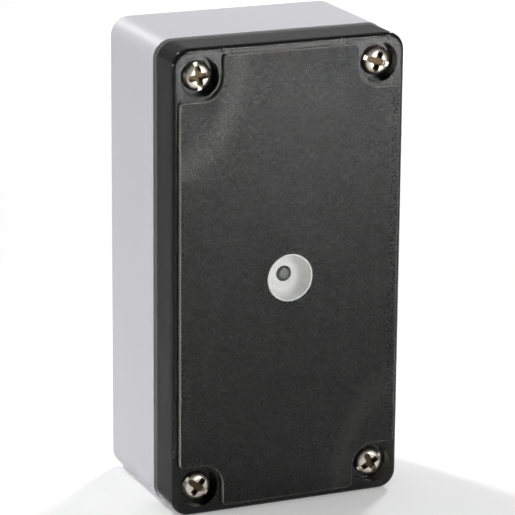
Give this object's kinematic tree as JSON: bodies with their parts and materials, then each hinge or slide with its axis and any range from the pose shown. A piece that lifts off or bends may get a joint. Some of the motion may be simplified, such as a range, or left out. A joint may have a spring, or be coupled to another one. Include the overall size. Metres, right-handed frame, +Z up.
{
  "type": "light and temperature sensor",
  "caption": "Upright wall-mount sensor box with a deep screwed smoked lid, a recessed white light cup in its middle and a cable grommet below.",
  "frame": {"origin": "under the middle of the box, on the plane of its lower end", "axes": "+Z up along the box's height, +Y back to the wall, +X to the right as seen from the front"},
  "size_m": [0.083, 0.058, 0.16],
  "materials": {
    "base_plastic": "fine moulded grain",
    "lid_plastic": "smoked and see-through, with a fine grain on the field",
    "seal_rubber": "matt",
    "screw_steel": "plain",
    "insert_brass": "machined",
    "cup_plastic": "smooth",
    "sensor_lens": "clear green filter",
    "dark_plastic": "matt",
    "board_laminate": "coated",
    "terminal_plastic": "smooth",
    "can_aluminium": "sleeved",
    "core_ferrite": "matt",
    "bead_resin": "dipped"
  },
  "bodies": {
    "root": {"base_housing": "base_plastic", "lid": "lid_plastic", "lid_gasket": "seal_rubber", "lid_screw_1": "screw_steel", "lid_screw_2": "screw_steel", "lid_screw_3": "screw_steel", "lid_screw_4": "screw_steel", "thread_insert_1": "insert_brass", "thread_insert_2": "insert_brass", "thread_insert_3": "insert_brass", "thread_insert_4": "insert_brass", "sensor_cup": "cup_plastic", "cup_seal": "seal_rubber", "photodiode": "sensor_lens", "sensor_carrier": "dark_plastic", "sensor_board": "board_laminate", "sensor_screw_1": "screw_steel", "sensor_screw_2": "screw_steel", "board_header": "dark_plastic", "board_socket": "dark_plastic", "circuit_board": "board_laminate", "board_screw_1": "screw_steel", "board_screw_2": "screw_steel", "board_screw_3": "screw_steel", "board_screw_4": "screw_steel", "terminal_block": "terminal_plastic", "terminal_screw_1": "screw_steel", "terminal_screw_2": "screw_steel", "terminal_screw_3": "screw_steel", "terminal_screw_4": "screw_steel", "controller_chip": "dark_plastic", "capacitor_1": "can_aluminium", "capacitor_2": "can_aluminium", "choke": "core_ferrite", "temperature_sensor": "bead_resin", "cable_grommet": "seal_rubber"}
  },
  "joints": []
}
